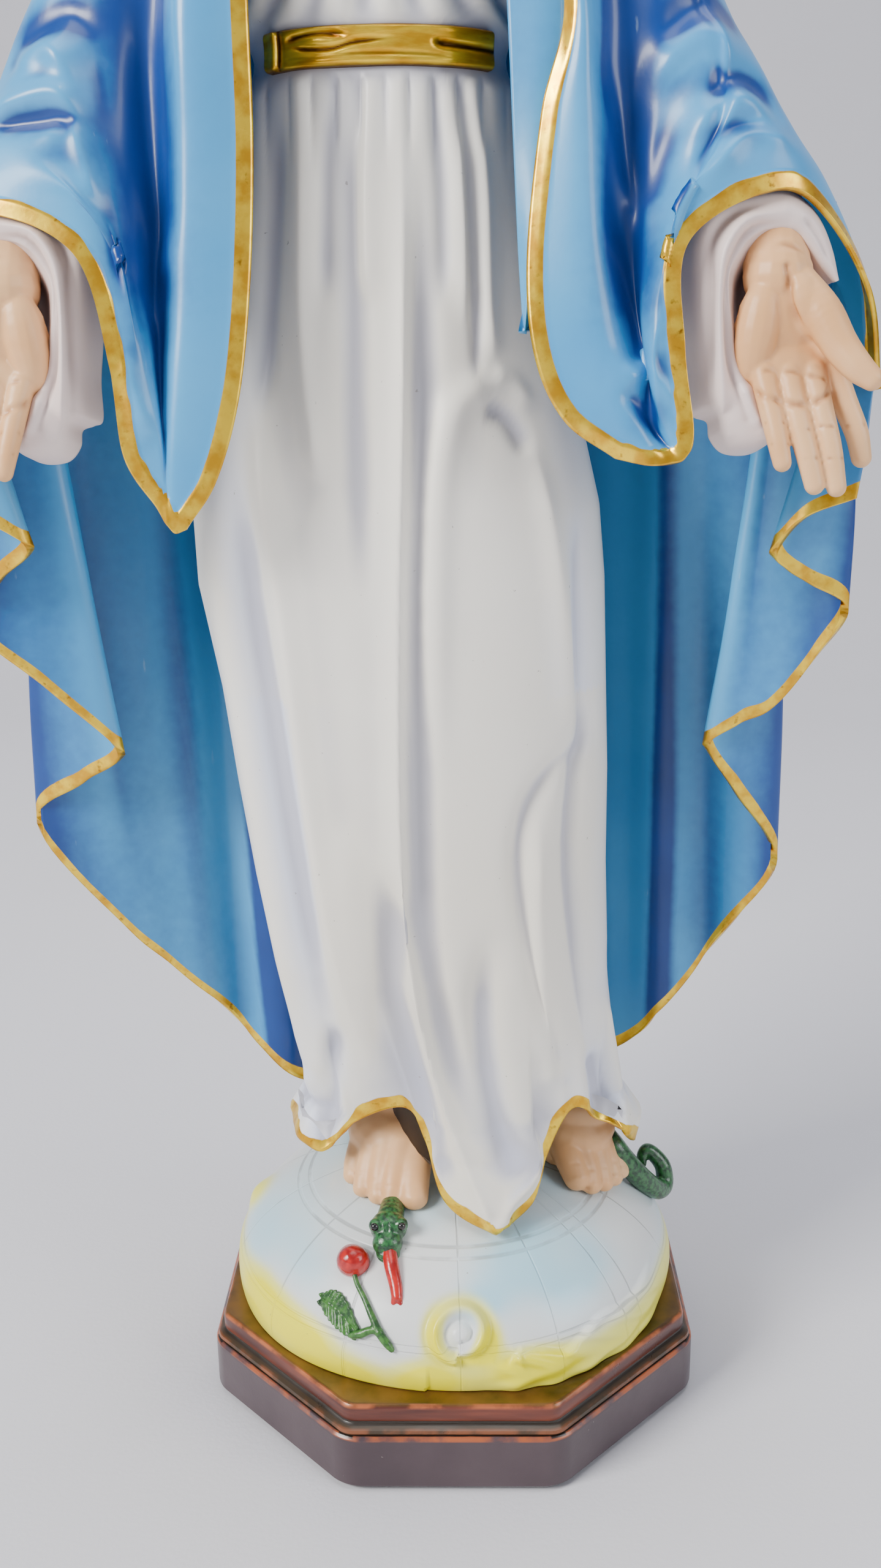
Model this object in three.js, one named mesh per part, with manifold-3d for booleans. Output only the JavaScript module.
// A painted resin statue of the Virgin Mary with open hands. She stands on a half globe
// over an octagonal wooden plinth. Millimetres, +Z up, the viewer faces along +Y, and the
// origin is the centre of the plinth's underside. "left" and "right" are the figure's own,
// so her left side is at +X.
import * as THREE from 'three';
import { mergeVertices } from 'three/addons/utils/BufferGeometryUtils.js';
import Module from 'manifold-3d';

const wasm = await Module();
wasm.setup();

// ---- Driving dimensions --------------------------------------------------------------

const gap = 0.3;                  // glue line left between pieces that meet

const plinthAcrossFlats = 168;
const feltThickness = 1.2;
const feltInset = 4;
const blockHeight = 18.8;
const blockEdge = 2;              // softened edge of the block
const cordonHeight = 9.6;         // the moulded cap on the block
const cordonInset = 3.7;          // how far its top edge stands inside the block

const globeWidth = 158.2;
const globeDepth = 152;
const globeRadiusZ = 41.5;
const globeSunk = 5.3;            // how far above the cap the globe's widest ring lies
const globeOverCordon = 1.3;      // cap left showing round the globe's foot

const rodDiameter = 6;
const rodSlack = 0.4;             // radial clearance of the rod in its holes
const rodGrip = 40;               // rod length held inside the figure
const insertWall = 3;             // brass insert cast into the figure
const insertLength = 24;
const nutAcrossFlats = 10;
const nutHeight = 5;
const washerDiameter = 18;
const washerThickness = 1.6;
const counterboreSlack = 1;

const figureHeight = 538.5;       // soles to the top of the veil
const modelledHeight = 538.5;     // the height that the outlines below are drawn at
const beltHeight = 10;
const beltThickness = 2.4;
const mantleWall = 5;
const sleeveWall = 3;
const wristPinDiameter = 3;
const wristPinLength = 26;
const neckDowelDiameter = 8;
const neckDowelLength = 40;
const hairThickness = 5;          // hair and veil thicken and thin with the figure
const veilWall = 4;

const footWidth = 25;
const footLength = 52;
const footRise = 20;
const hemClearance = 4;           // air beside a foot, under the arch of the gown's hem
const fingerRadius = 3.6;
const serpentRadius = 4;
const fruitRadius = 7;
const sprigRadius = 1.3;
const leafRadius = 2.8;

// ---- Places worked out from them -----------------------------------------------------

const plinthHalf = plinthAcrossFlats / 2;
const blockBottom = feltThickness + gap;
const blockTop = blockBottom + blockHeight;
const cordonBottom = blockTop + gap;
const cordonTop = cordonBottom + cordonHeight;
const globeFoot = cordonTop + gap;
const globeCentre = new THREE.Vector3(0.6, 2.5, globeFoot + globeSunk);
const figureScale = figureHeight / modelledHeight;
const figureFloor = globeCentre.z + globeRadiusZ - 5.5;   // the soles stand just below the globe's crown

// ---- Helpers -------------------------------------------------------------------------

/** Turns a closed geometry into a solid that can be cut and joined. */
function solid(geometry) {
  const bare = geometry.clone();
  bare.deleteAttribute('normal');
  bare.deleteAttribute('uv');
  const merged = mergeVertices(bare, 1e-4);
  return new wasm.Manifold(new wasm.Mesh({
    numProp: 3,
    vertProperties: new Float32Array(merged.attributes.position.array),
    triVerts: new Uint32Array(merged.index.array),
  }));
}

/** Turns a solid back into a geometry, keeping only its largest body. */
function geometryOf(manifold) {
  const bodies = manifold.decompose();
  bodies.sort((a, b) => b.volume() - a.volume());
  const mesh = bodies[0].getMesh();
  const geometry = new THREE.BufferGeometry();
  geometry.setAttribute('position', new THREE.BufferAttribute(mesh.vertProperties, 3));
  geometry.setIndex(new THREE.BufferAttribute(mesh.triVerts, 1));
  geometry.computeVertexNormals();
  return geometry;
}

/** A closed skin over rings of points, each counter-clockwise from above, lowest first. */
function skin(rings) {
  const count = rings[0].length;
  const points = rings.flat();
  const middle = (ring) => ring.reduce((sum, p) => sum.add(p), new THREE.Vector3()).divideScalar(count);
  const bottom = points.push(middle(rings[0])) - 1;
  const top = points.push(middle(rings.at(-1))) - 1;
  const faces = [];
  for (let j = 0; j < count; j += 1) {
    const next = (j + 1) % count;
    for (let i = 0; i < rings.length - 1; i += 1) {
      const low = i * count;
      const high = low + count;
      faces.push(low + j, low + next, high + next, low + j, high + next, high + j);
    }
    const last = (rings.length - 1) * count;
    faces.push(bottom, next, j, top, last + j, last + next);
  }
  const geometry = new THREE.BufferGeometry().setFromPoints(points);
  geometry.setIndex(faces);
  return geometry;
}

/** A form lofted through flattened oval sections, each { z, left, right, front, back }. */
function form(sections, { grow = 0, sides = 24, squareness = 2.4 } = {}) {
  const last = sections.length - 1;
  const rings = sections.map((s, i) => {
    const level = s.z + (i === 0 ? -grow : 0) + (i === last ? grow : 0);
    const ring = [];
    for (let k = 0; k < sides; k += 1) {
      const angle = (2 * Math.PI * k) / sides;
      const c = Math.cos(angle);
      const sn = Math.sin(angle);
      const reach = (value) => Math.sign(value) * Math.abs(value) ** (2 / squareness);
      ring.push(new THREE.Vector3(
        (s.left + s.right) / 2 + ((s.right - s.left) / 2 + grow) * reach(c),
        (s.front + s.back) / 2 + ((s.back - s.front) / 2 + grow) * reach(sn),
        level,
      ));
    }
    return ring;
  });
  return solid(skin(rings));
}

/** Sections from rows of [z, left, right, front, back], drawn at the modelled height. */
function sections(rows) {
  return rows.map(([z, left, right, front, back]) => ({
    z: figureFloor + z * figureScale,
    left: left * figureScale,
    right: right * figureScale,
    front: front * figureScale,
    back: back * figureScale,
  }));
}

/** A point on the figure, drawn at the modelled height. */
function at(x, y, z) {
  return new THREE.Vector3(x * figureScale, y * figureScale, figureFloor + z * figureScale);
}

function ellipsoid(centre, rx, ry, rz, across = 14, up = 8) {
  const geometry = new THREE.SphereGeometry(1, across, up);
  geometry.rotateX(Math.PI / 2);
  geometry.scale(rx, ry, rz);
  geometry.translate(centre.x, centre.y, centre.z);
  return solid(geometry);
}

/** A round bar from one point to another, tapering from one radius to the other. */
function bar(from, to, radiusFrom, radiusTo = radiusFrom, sides = 16) {
  const along = to.clone().sub(from);
  const geometry = new THREE.CylinderGeometry(radiusTo, radiusFrom, along.length(), sides);
  geometry.applyQuaternion(new THREE.Quaternion().setFromUnitVectors(
    new THREE.Vector3(0, 1, 0),
    along.clone().normalize(),
  ));
  const middle = from.clone().add(to).divideScalar(2);
  geometry.translate(middle.x, middle.y, middle.z);
  return solid(geometry);
}

/** A finger: a bar with round ends. */
function finger(from, to, radius) {
  return bar(from, to, radius, radius * 0.85, 6)
    .add(ellipsoid(to, radius * 0.85, radius * 0.85, radius * 0.85, 6, 4));
}

/** A round tube of one thickness along a curve. */
function rope(points, radius, steps, sides = 10) {
  const outline = new THREE.Shape();
  outline.absarc(0, 0, radius, 0, 2 * Math.PI, false);
  const curve = new THREE.CatmullRomCurve3(points);
  return solid(new THREE.ExtrudeGeometry(outline, { steps, curveSegments: sides, extrudePath: curve }));
}

/** An octagonal prism or moulding turned from [half width, z] points, flats to the axes. */
function octagon(profile) {
  const corner = 1 / Math.cos(Math.PI / 8);
  const points = profile.map(([half, z]) => new THREE.Vector2(half * corner, z));
  const geometry = new THREE.LatheGeometry(points, 8, Math.PI / 8);
  geometry.rotateX(Math.PI / 2);
  geometry.deleteAttribute('normal');
  return solid(geometry);
}

/** A prism cut to an outline of [x, z] points, running from y = front to y = back. */
function curtain(outline, front, back) {
  const shape = new THREE.Shape(outline.map(([x, z]) => new THREE.Vector2(x, z)));
  const geometry = new THREE.ExtrudeGeometry(shape, { depth: back - front, bevelEnabled: false });
  geometry.rotateX(Math.PI / 2);
  geometry.translate(0, back, 0);
  return solid(geometry);
}

const axisPoint = (z) => new THREE.Vector3(0, 0, z);

// ---- Plinth --------------------------------------------------------------------------

const boreRadius = rodDiameter / 2 + rodSlack;
const counterboreRadius = washerDiameter / 2 + counterboreSlack;
const counterboreDepth = nutHeight + washerThickness + 4;
const counterboreTop = blockBottom + counterboreDepth;
const boreThrough = () =>
  bar(axisPoint(-1), axisPoint(globeCentre.z + globeRadiusZ + 5), boreRadius, boreRadius, 24);

function makeFelt() {
  const half = plinthHalf - feltInset;
  return octagon([[0, 0], [half, 0], [half, feltThickness], [0, feltThickness]]);
}

function makeBlock() {
  const profile = [
    [0, blockBottom],
    [plinthHalf - blockEdge, blockBottom],
    [plinthHalf, blockBottom + blockEdge],
    [plinthHalf, blockTop - blockEdge],
    [plinthHalf - blockEdge / 2, blockTop - blockEdge / 4],
    [plinthHalf - blockEdge, blockTop],
    [0, blockTop],
  ];
  const counterbore = bar(axisPoint(blockBottom - 1), axisPoint(counterboreTop), counterboreRadius,
    counterboreRadius, 32);
  return octagon(profile).subtract(counterbore).subtract(boreThrough());
}

function makeCordon() {
  const half = plinthHalf - cordonInset;
  const foot = cordonHeight * 0.28;
  const profile = [
    [0, cordonBottom],
    [half + 0.9, cordonBottom],
    [half + 1.3, cordonBottom + foot * 0.5],
    [half + 0.9, cordonBottom + foot],
    [half - 0.9, cordonBottom + foot + 0.4],
    [half - 0.6, cordonBottom + foot + 1.4],
    [half, cordonBottom + foot + 2],
    [half, cordonTop - 0.6],
    [half - 0.6, cordonTop],
    [0, cordonTop],
  ];
  return octagon(profile).subtract(boreThrough());
}

// ---- Globe ---------------------------------------------------------------------------

function globeForm(grow, across = 32, up = 16) {
  return ellipsoid(
    globeCentre,
    globeWidth / 2 + grow,
    globeDepth / 2 + grow,
    globeRadiusZ + grow,
    across,
    up,
  );
}

/** Height of the globe's surface at a place. */
function globeHeight(x, y) {
  const u = (x - globeCentre.x) / (globeWidth / 2);
  const v = (y - globeCentre.y) / (globeDepth / 2);
  return globeCentre.z + globeRadiusZ * Math.sqrt(Math.max(0, 1 - u * u - v * v));
}

/** A point lifted off the globe's surface. */
function onGlobe(x, y, lift) {
  return new THREE.Vector3(x, y, globeHeight(x, y) + lift);
}

function makeGlobe() {
  const half = plinthHalf - cordonInset - globeOverCordon;
  const depthShare = globeDepth / globeWidth;
  const reach = globeRadiusZ * 2;
  const trim = octagon([[0, globeFoot], [half, globeFoot], [half, globeFoot + reach], [0, globeFoot + reach]])
    .scale([1, depthShare, 1]);
  const scroll = [];
  for (let turn = 0; turn <= 1.6; turn += 0.1) {
    const radius = 11 * (1 - turn * 0.48);
    const angle = -0.9 + turn * 2 * Math.PI;
    const x = 3 + radius * Math.cos(angle);
    const z = 49 + radius * 0.9 * Math.sin(angle);
    const u = (x - globeCentre.x) / (globeWidth / 2);
    const w = (z - globeCentre.z) / globeRadiusZ;
    const y = globeCentre.y - (globeDepth / 2) * Math.sqrt(Math.max(0.01, 1 - u * u - w * w));
    scroll.push(new THREE.Vector3(x, y + 0.6, z));
  }
  return globeForm(0).add(rope(scroll, 2.2, 24, 6)).intersect(trim).subtract(boreThrough());
}

// ---- Anchor: rod, nut, washer and insert ---------------------------------------------

const rodBottom = blockBottom + 1;
const rodTop = globeCentre.z + globeRadiusZ + rodGrip;
const washerBottom = counterboreTop - gap - washerThickness;

function makeRod() {
  return bar(axisPoint(rodBottom), axisPoint(rodTop), rodDiameter / 2, rodDiameter / 2, 20);
}

function ringOn(z, height, outer, inner, sides) {
  const outside = bar(axisPoint(z), axisPoint(z + height), outer, outer, sides);
  return outside.subtract(bar(axisPoint(z - 1), axisPoint(z + height + 1), inner, inner, 24));
}

function makeNut() {
  const corner = nutAcrossFlats / 2 / Math.cos(Math.PI / 6);
  return ringOn(washerBottom - gap - nutHeight, nutHeight, corner, rodDiameter / 2 + gap, 6);
}

function makeWasher() {
  return ringOn(washerBottom, washerThickness, washerDiameter / 2, boreRadius, 24);
}

const insertBottom = rodTop - insertLength - 2;
const insertRadius = rodDiameter / 2 + gap + insertWall;

function makeInsert() {
  return ringOn(insertBottom, insertLength, insertRadius, rodDiameter / 2 + gap, 16);
}

/** The socket that the rod and its insert fill inside the figure. */
function anchorSocket() {
  const wide = bar(axisPoint(insertBottom - gap), axisPoint(insertBottom + insertLength + gap), insertRadius + gap,
    insertRadius + gap, 20);
  return wide.add(bar(axisPoint(figureFloor - 40), axisPoint(rodTop + 2), boreRadius, boreRadius, 20));
}

// ---- Feet, serpent and fruit ---------------------------------------------------------

const footPlaces = {
  right: { x: -22, toeY: -31, turn: 0.04, tilt: -0.28 },
  left: { x: 47, toeY: -21, turn: 0.2, tilt: -0.2 },
};

function footForm(side, grow) {
  const place = footPlaces[side];
  const outward = side === 'left' ? 1 : -1;
  const toeRadius = footWidth / 10 + 0.6;
  const instep = new THREE.Vector3(0, footLength * 0.42, footRise * 0.55);
  let foot = ellipsoid(
    instep,
    footWidth * 0.46 + grow,
    footLength * 0.44 + grow,
    footRise * 0.55 + grow,
    12,
    6,
  );
  for (let toe = 0; toe < 5; toe += 1) {
    const across = (toe / 4 - 0.5) * footWidth * 0.74;
    const reach = toe * toe * 0.45;
    const root = new THREE.Vector3(across * 0.85 * outward, footLength * 0.3, footRise * 0.42);
    const tip = new THREE.Vector3(across * outward, reach + toeRadius, toeRadius);
    foot = foot.add(finger(root, tip, toeRadius + (toe === 0 ? 0.9 : 0) + grow));
  }
  const ground = globeHeight(place.x, place.toeY);
  return foot
    .rotate([0, 0, THREE.MathUtils.radToDeg(place.turn)])
    .rotate([THREE.MathUtils.radToDeg(-place.tilt), 0, 0])
    .translate([place.x, place.toeY, ground - 1]);
}

function makeFoot(side) {
  return footForm(side, 0).subtract(globeForm(gap)).subtract(anchorSocket());
}

/** The arch that the gown's hem leaves over a foot, open in front of the toes. */
function footArch(side) {
  const { x, toeY } = footPlaces[side];
  const ground = globeHeight(x, toeY);
  const front = new THREE.Vector3(x, toeY - footLength, ground);
  const instep = new THREE.Vector3(x, toeY + footLength * 0.3, ground);
  const half = footWidth / 2 + hemClearance;
  return bar(front, instep, half, half, 14).add(footForm(side, gap));
}

const headCentre = onGlobe(-21, -46, 3.4);
const fruitCentre = onGlobe(-33, -50, fruitRadius * 0.45);

function serpentHeadForm(grow) {
  return ellipsoid(headCentre, 7 + grow, 7.5 + grow, 6 + grow, 16, 10)
    .add(ellipsoid(onGlobe(-21, -40, 4), 4.5 + grow, 7 + grow, 4.5 + grow, 14, 8));
}

function makeSerpentHead() {
  return serpentHeadForm(0)
    .subtract(globeForm(gap))
    .subtract(footForm('right', gap));
}

function makeSerpentTongue() {
  const tongue = [onGlobe(-20.5, -51, 1.2), onGlobe(-19.5, -56, 1.1), onGlobe(-18.5, -62, 0.8)];
  return rope(tongue, 2, 4, 6)
    .subtract(globeForm(gap))
    .subtract(serpentHeadForm(gap));
}

function makeSerpentTail() {
  const tail = [
    onGlobe(58, -2, serpentRadius + 3),
    onGlobe(64, 4, serpentRadius),
    onGlobe(69, 8, serpentRadius - 1),
    onGlobe(73.5, 11, serpentRadius + 2),
    onGlobe(76, 15, serpentRadius + 14),
    onGlobe(72, 15, serpentRadius + 14),
    onGlobe(70, 13, serpentRadius + 9),
  ];
  return rope(tail, serpentRadius, 16, 6)
    .subtract(globeForm(gap))
    .subtract(footForm('left', gap))
    .subtract(skirtForm(gap));
}

function makeFruit() {
  return ellipsoid(fruitCentre, fruitRadius, fruitRadius, fruitRadius, 14, 8).subtract(globeForm(gap));
}

function makeSprig() {
  const stem = [
    onGlobe(-31, -55.5, 1.2),
    onGlobe(-28, -59, 1),
    onGlobe(-24, -64, 0.9),
    onGlobe(-19, -68, 0.8),
  ];
  const leaf = [
    onGlobe(-42, -57, 0.6),
    onGlobe(-38, -60, 0.8),
    onGlobe(-33, -62, 0.8),
    onGlobe(-29, -63, 0.8),
  ];
  const stalk = [onGlobe(-31, -62.6, 1), onGlobe(-26, -63.6, 1), onGlobe(-23, -65, 1)];
  const fruit = ellipsoid(fruitCentre, fruitRadius + gap, fruitRadius + gap, fruitRadius + gap, 14, 8);
  return rope(stem, sprigRadius, 12, 8)
    .add(rope(stalk, sprigRadius, 8, 8))
    .add(rope(leaf, leafRadius, 8, 8))
    .subtract(globeForm(gap))
    .subtract(fruit);
}

// ---- Gown ----------------------------------------------------------------------------

const beltMiddle = 361;           // height of the belt over the soles
const skirtRows = [
  [-8, -46, 52, -42, 26],
  [6, -50, 57, -42, 30],
  [20, -55, 61, -38, 31],
  [32, -48, 55, -37, 31],
  [66, -57, 54, -40, 32],
  [108, -64, 53.5, -42, 34],
  [148, -69, 53, -43, 36],
  [190, -75, 52, -43, 37],
  [228, -79, 49, -42, 37],
  [268, -75, 41, -39, 35],
  [308, -67, 33, -35, 32],
  [346, -58, 24, -32, 28],
  [beltMiddle, -55, 21, -31, 26],
];
const bodiceRows = [
  [beltMiddle, -55, 21, -31, 26],
  [372, -57, 22, -33, 27],
  [395, -61, 25, -37, 29],
  [418, -64, 28, -36, 30],
  [438, -64, 28, -29, 29],
  [452, -52, 16, -22, 24],
  [462, -38, 2, -17, 18],
];

function skirtForm(grow) {
  return form(sections(skirtRows), { grow, sides: 24, squareness: 2.2 });
}

function bodiceForm(grow) {
  return form(sections(bodiceRows), { grow, sides: 24, squareness: 2.2 });
}

function makeSkirt() {
  const top = sections(skirtRows).at(-1).z;
  const aboveBelt = curtain(
    [[-200, top - gap / 2], [200, top - gap / 2], [200, top + 40], [-200, top + 40]],
    -200, 200);
  return skirtForm(0)
    .subtract(aboveBelt)
    .subtract(globeForm(gap))
    .subtract(footArch('left'))
    .subtract(footArch('right'))
    .subtract(serpentHeadForm(gap))
    .subtract(anchorSocket());
}

function makeBodice() {
  const bottom = sections(bodiceRows)[0].z;
  const belowBelt = curtain(
    [[-200, bottom + gap / 2], [-200, bottom - 40], [200, bottom - 40], [200, bottom + gap / 2]],
    -200, 200);
  return bodiceForm(0).subtract(belowBelt).subtract(neckForm(gap)).subtract(neckDowel(gap));
}

function beltRing(outer, taller) {
  const level = sections(skirtRows).at(-1);
  const row = {
    ...level,
    left: level.left - 2 - outer,
    right: level.right + 2 + outer,
    front: level.front - 2 - outer,
    back: level.back + 2 + outer,
  };
  const half = beltHeight / 2 + taller;
  return form([{ ...row, z: level.z - half }, { ...row, z: level.z + half }], { sides: 24, squareness: 2.2 });
}

function makeBelt() {
  return beltRing(beltThickness, 0).subtract(skirtForm(gap)).subtract(bodiceForm(gap));
}

// ---- Head ----------------------------------------------------------------------------

const headMiddle = at(-19, -4, 499);
const neckRadius = 13.5 * figureScale;

function neckForm(grow) {
  return bar(at(-18, 3, 448), at(-19, 0, 490), neckRadius + grow, neckRadius * 0.9 + grow, 20);
}

function neckDowel(grow) {
  const middle = at(-18, 3, 452);
  const half = neckDowelLength / 2 + grow;
  return bar(
    new THREE.Vector3(middle.x, middle.y, middle.z - half),
    new THREE.Vector3(middle.x, middle.y, middle.z + half),
    neckDowelDiameter / 2 + grow,
    neckDowelDiameter / 2 + grow,
    16,
  );
}

function skullForm(grow) {
  const r = figureScale;
  return ellipsoid(headMiddle, 24 * r + grow, 29 * r + grow, 33 * r + grow, 16, 10);
}

function makeHead() {
  const nose = ellipsoid(headMiddle.clone().add(new THREE.Vector3(0, -28, -5).multiplyScalar(figureScale)),
    3.6 * figureScale, 5 * figureScale, 8 * figureScale, 10, 8);
  return skullForm(0).add(neckForm(0)).add(nose).subtract(neckDowel(gap));
}

/** The space in front of the face that hair and veil leave open. */
function faceOpening(width, crown) {
  const centre = headMiddle.clone().add(new THREE.Vector3(0, -30, -8).multiplyScalar(figureScale));
  return ellipsoid(centre, width * figureScale, 30 * figureScale, crown * figureScale, 14, 8);
}

const hairCentre = headMiddle.clone().add(new THREE.Vector3(0, 4, -2).multiplyScalar(figureScale));

function hairForm(grow) {
  const r = figureScale;
  const thick = hairThickness * r + grow;
  return ellipsoid(hairCentre, 24 * r + thick, 28 * r + thick, 33 * r + thick, 16, 10);
}

function makeHair() {
  return hairForm(0)
    .subtract(skullForm(gap))
    .subtract(neckForm(gap))
    .subtract(bodiceForm(gap))
    .subtract(faceOpening(21, 34));
}

const veilRows = [
  [430, -70, 35, -28, 44],
  [450, -58, 22, -26, 42],
  [470, -54, 17, -25, 42],
  [492, -54, 16, -30, 41],
  [512, -52, 14, -30, 38],
  [526, -45, 7, -22, 30],
  [535, -32, -6, -10, 18],
];

function makeVeil() {
  const outer = form(sections(veilRows), { sides: 24, squareness: 2.1 });
  const inner = form(sections(veilRows), { grow: -veilWall * figureScale, sides: 24, squareness: 2.1 });
  return outer
    .subtract(inner)
    .subtract(hairForm(gap))
    .subtract(skullForm(gap))
    .subtract(bodiceForm(gap))
    .subtract(neckForm(gap))
    .subtract(faceOpening(28, 36))
    .subtract(bar(at(-18, -30, 430), at(-18, -30, 492), 22 * figureScale, 22 * figureScale, 20));
}

// ---- Arms ----------------------------------------------------------------------------

const arms = {
  left: { elbow: at(66, 0, 352), wrist: at(90, -46, 306), palm: at(98, -56, 283), tips: at(103, -64, 247) },
  right: { elbow: at(-98, 0, 352), wrist: at(-120, -46, 306), palm: at(-127, -56, 283), tips: at(-131, -64, 247) },
};

function sleeveCone(side, grow) {
  const { elbow, wrist } = arms[side];
  const along = wrist.clone().sub(elbow).normalize();
  const from = elbow.clone().addScaledVector(along, -grow);
  const to = wrist.clone().addScaledVector(along, grow);
  const r = figureScale;
  return bar(from, to, 13 * r + grow, 18 * r + grow, 18);
}

function makeUndersleeve(side) {
  const { elbow, wrist } = arms[side];
  const r = figureScale;
  const mouthFrom = elbow.clone().lerp(wrist, 0.55);
  const mouthTo = elbow.clone().lerp(wrist, 1.1);
  return sleeveCone(side, 0)
    .subtract(bar(mouthFrom, mouthTo, 12 * r, 18 * r - sleeveWall * 0.5, 18))
    .subtract(wristPin(side, gap))
    .subtract(handForm(side, gap));
}

function wristPin(side, grow) {
  const { elbow, wrist, palm } = arms[side];
  const back = elbow.clone().sub(wrist).normalize();
  const mouth = elbow.clone().lerp(wrist, 0.55);
  const from = mouth.clone().addScaledVector(back, wristPinLength * 0.35 + grow);
  const forward = palm.clone().sub(mouth).normalize();
  const to = mouth.clone().addScaledVector(forward, wristPinLength * 0.65 + grow);
  return bar(from, to, wristPinDiameter / 2 + grow, wristPinDiameter / 2 + grow, 10);
}

function handForm(side, grow) {
  const { elbow, wrist, palm, tips } = arms[side];
  const outward = side === 'left' ? 1 : -1;
  const r = figureScale;
  const down = tips.clone().sub(palm).normalize();
  const forearm = elbow.clone().lerp(wrist, 0.62);
  let hand = ellipsoid(palm, 12.5 * r + grow, 6 * r + grow, 19 * r + grow, 12, 8)
    .add(bar(forearm, palm, 8 * r + grow, 8.5 * r + grow, 10));
  for (let k = 0; k < 4; k += 1) {
    const across = (k - 1.5) * fingerRadius * 1.75 * outward * r;
    const root = palm.clone().addScaledVector(down, 12 * r).add(new THREE.Vector3(across, 0, 0));
    const length = (k === 0 ? 19 : 25) * r;
    hand = hand.add(finger(root, root.clone().addScaledVector(down, length), fingerRadius * r + grow));
  }
  const thumbRoot = palm.clone().add(new THREE.Vector3(8 * outward * r, -3 * r, 6 * r));
  const thumbTip = palm.clone().add(new THREE.Vector3(17 * outward * r, -10 * r, -14 * r));
  return hand.add(finger(thumbRoot, thumbTip, (fingerRadius + 0.8) * r + grow));
}

function makeHand(side) {
  return handForm(side, 0).subtract(wristPin(side, gap));
}

// ---- Mantle --------------------------------------------------------------------------

const mantleRows = [
  [8, -54, 60, 0, 52],
  [28, -69, 68, -4, 56],
  [48, -84, 80, -8, 59],
  [70, -101, 94, -12, 61],
  [100, -127, 104, -18, 62],
  [126, -142, 113, -22, 62],
  [160, -141, 113, -28, 62],
  [198, -142, 124, -42, 61],
  [232, -140, 127, -58, 60],
  [275, -139, 128, -62, 59],
  [318, -133, 113, -60, 58],
  [346, -124, 92, -50, 56],
  [376, -116, 80, -42, 54],
  [408, -100, 66, -40, 52],
  [430, -86, 52, -38, 50],
  [446, -66, 32, -33, 47],
];

function mantleForm(grow) {
  return form(sections(mantleRows), { grow, sides: 28, squareness: 2.6 });
}

function mantleShell() {
  return mantleForm(0).subtract(mantleForm(-mantleWall));
}

/** Everything that the mantle hangs round, with its clearance. */
function insideMantle(shape) {
  return shape
    .subtract(skirtForm(gap))
    .subtract(bodiceForm(gap))
    .subtract(beltRing(beltThickness + gap, gap))
    .subtract(form(sections(veilRows), { grow: gap, sides: 24, squareness: 2.1 }))
    .subtract(globeForm(gap));
}

const outline = (points) => points.map(([x, z]) => [x * figureScale, figureFloor + z * figureScale]);
const seamY = -6 * figureScale;
const farFront = -160 * figureScale;
const farBack = 160 * figureScale;
const above = 480;

function makeMantleBack() {
  const behindSeam = outline([[-200, -20], [200, -20], [200, above], [-200, above]]);
  return insideMantle(mantleShell())
    .intersect(curtain(behindSeam, seamY, farBack))
    .subtract(sleeveCone('left', gap))
    .subtract(sleeveCone('right', gap))
    .subtract(footForm('left', gap))
    .subtract(footForm('right', gap));
}

const frontOutlines = {
  right: [
    [-48, above], [-48, 320], [-53, 280], [-63, 244], [-75, 229], [-84, 236], [-89, 262],
    [-90, 290], [-97, 304], [-112, 312], [-130, 308], [-150, 290], [-160, above],
  ],
  left: [
    [22, above], [22, 300], [26, 272], [38, 252], [57, 247], [68, 250], [66, 272],
    [64, 298], [72, 310], [92, 318], [106, 312], [126, 280], [150, 290], [150, above],
  ],
};

function makeMantleFront(side) {
  return insideMantle(mantleShell())
    .intersect(curtain(outline(frontOutlines[side]), farFront, seamY - gap))
    .subtract(sleeveCone(side, gap))
    .subtract(handForm(side, gap))
    .subtract(wristPin(side, gap));
}

// ---- Colours -------------------------------------------------------------------------

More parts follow.
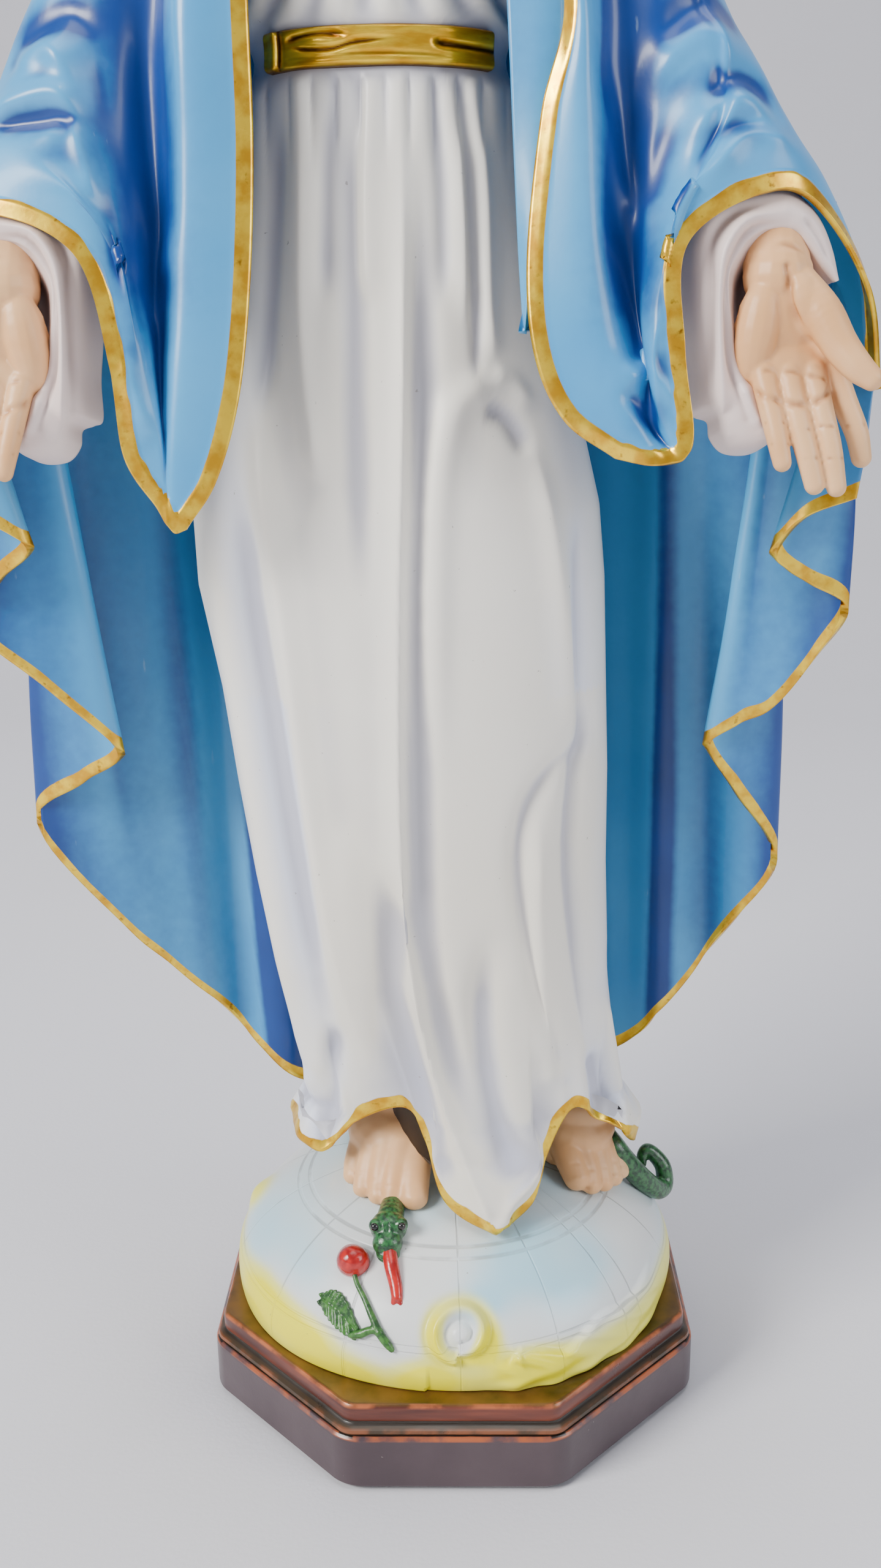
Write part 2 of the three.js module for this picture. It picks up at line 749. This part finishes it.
const finishes = {
  felt: { color: 0x1f3d2c, roughness: 0.95, metalness: 0 },
  block: { color: 0x3a2c2f, roughness: 0.4, metalness: 0 },
  cordon: { color: 0x5a2e1d, roughness: 0.35, metalness: 0 },
  globe: { color: 0xe9eee8, roughness: 0.45, metalness: 0 },
  steel: { color: 0x9a9c9e, roughness: 0.35, metalness: 1 },
  brass: { color: 0xb08d45, roughness: 0.35, metalness: 1 },
  gown: { color: 0xe6e1d6, roughness: 0.45, metalness: 0 },
  gold: { color: 0xc8961e, roughness: 0.35, metalness: 0.6 },
  mantle: { color: 0x4f9fd0, roughness: 0.4, metalness: 0 },
  cuff: { color: 0xe4d4cd, roughness: 0.5, metalness: 0 },
  skin: { color: 0xe0b285, roughness: 0.5, metalness: 0 },
  hair: { color: 0x6b4327, roughness: 0.5, metalness: 0 },
  serpent: { color: 0x1d4a28, roughness: 0.3, metalness: 0 },
  red: { color: 0xb01c18, roughness: 0.3, metalness: 0 },
  leaf: { color: 0x2e5a24, roughness: 0.4, metalness: 0 },
};

// ---- Assembly ------------------------------------------------------------------------

const statue = new THREE.Group();

function piece(name, finish, shape) {
  const mesh = new THREE.Mesh(geometryOf(shape), new THREE.MeshStandardMaterial(finishes[finish]));
  mesh.name = name;
  statue.add(mesh);
}

piece('felt_pad', 'felt', makeFelt());
piece('plinth_block', 'block', makeBlock());
piece('plinth_moulding', 'cordon', makeCordon());
piece('globe', 'globe', makeGlobe());
piece('anchor_rod', 'steel', makeRod());
piece('anchor_nut', 'steel', makeNut());
piece('anchor_washer', 'steel', makeWasher());
piece('thread_insert', 'brass', makeInsert());
piece('serpent_head', 'serpent', makeSerpentHead());
piece('serpent_tongue', 'red', makeSerpentTongue());
piece('serpent_tail', 'serpent', makeSerpentTail());
piece('fruit', 'red', makeFruit());
piece('fruit_sprig', 'leaf', makeSprig());
piece('gown_skirt', 'gown', makeSkirt());
piece('gown_bodice', 'gown', makeBodice());
piece('belt', 'gold', makeBelt());
piece('neck_dowel', 'steel', neckDowel(0));
piece('head', 'skin', makeHead());
piece('hair', 'hair', makeHair());
piece('veil', 'mantle', makeVeil());
piece('mantle_back', 'mantle', makeMantleBack());
for (const side of ['left', 'right']) {
  piece(`foot_${side}`, 'skin', makeFoot(side));
  piece(`mantle_front_${side}`, 'mantle', makeMantleFront(side));
  piece(`undersleeve_${side}`, 'cuff', makeUndersleeve(side));
  piece(`wrist_pin_${side}`, 'steel', wristPin(side, 0));
  piece(`hand_${side}`, 'skin', makeHand(side));
}

export default statue;
